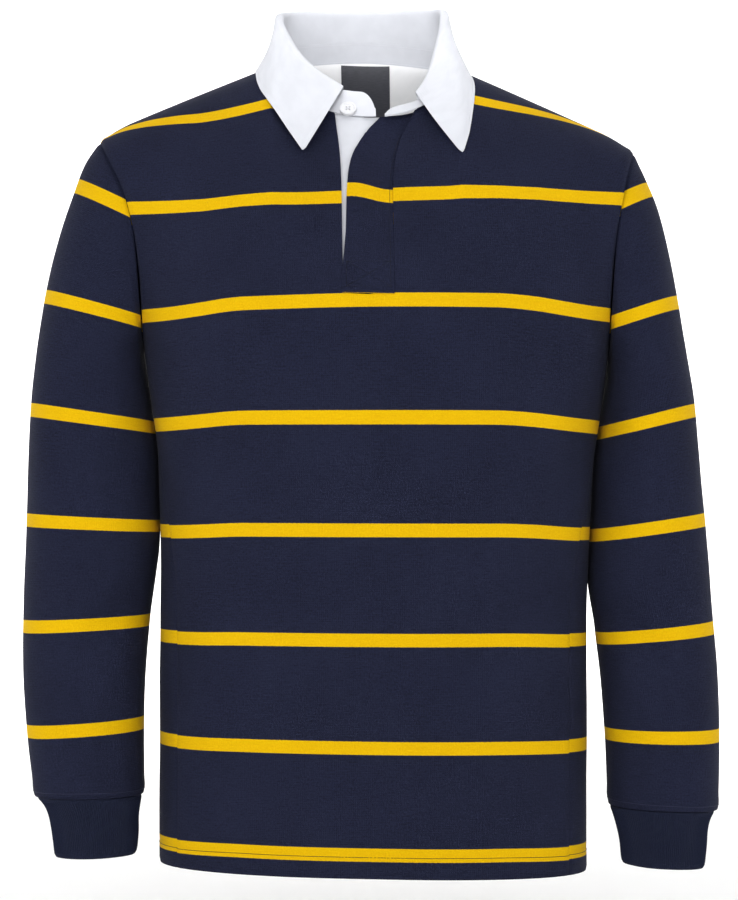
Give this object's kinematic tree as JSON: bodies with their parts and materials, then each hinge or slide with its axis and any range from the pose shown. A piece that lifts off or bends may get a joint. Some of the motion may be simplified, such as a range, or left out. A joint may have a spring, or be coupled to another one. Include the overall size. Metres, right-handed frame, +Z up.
{
  "type": "rugby shirt",
  "caption": "Long-sleeved striped rugby shirt with a white collar, concealed placket and rib cuffs, filled out as worn with nobody in it.",
  "frame": {"origin": "middle of the neck at the level where the shoulders carry the shirt", "axes": "+Z up, the front faces -Y, +X towards the wearer's left"},
  "size_m": [0.6451, 0.252, 0.8047],
  "materials": {
    "navy_knit": "heavy cotton jersey, navy with narrow gold stripes",
    "navy_rib": "ribbed cotton knit",
    "white_twill": "white cotton twill",
    "label_weave": "plain woven label",
    "button_plastic": "satin white"
  },
  "bodies": {
    "root": {"front": "navy_knit", "back": "navy_knit", "sleeve_left": "navy_knit", "sleeve_right": "navy_knit", "cuff_left": "navy_rib", "cuff_right": "navy_rib", "collar_stand": "white_twill", "collar_leaf": "white_twill", "placket_top": "navy_knit", "placket_under": "white_twill", "neck_facing": "white_twill", "label": "label_weave", "collar_button": "button_plastic"}
  },
  "joints": []
}
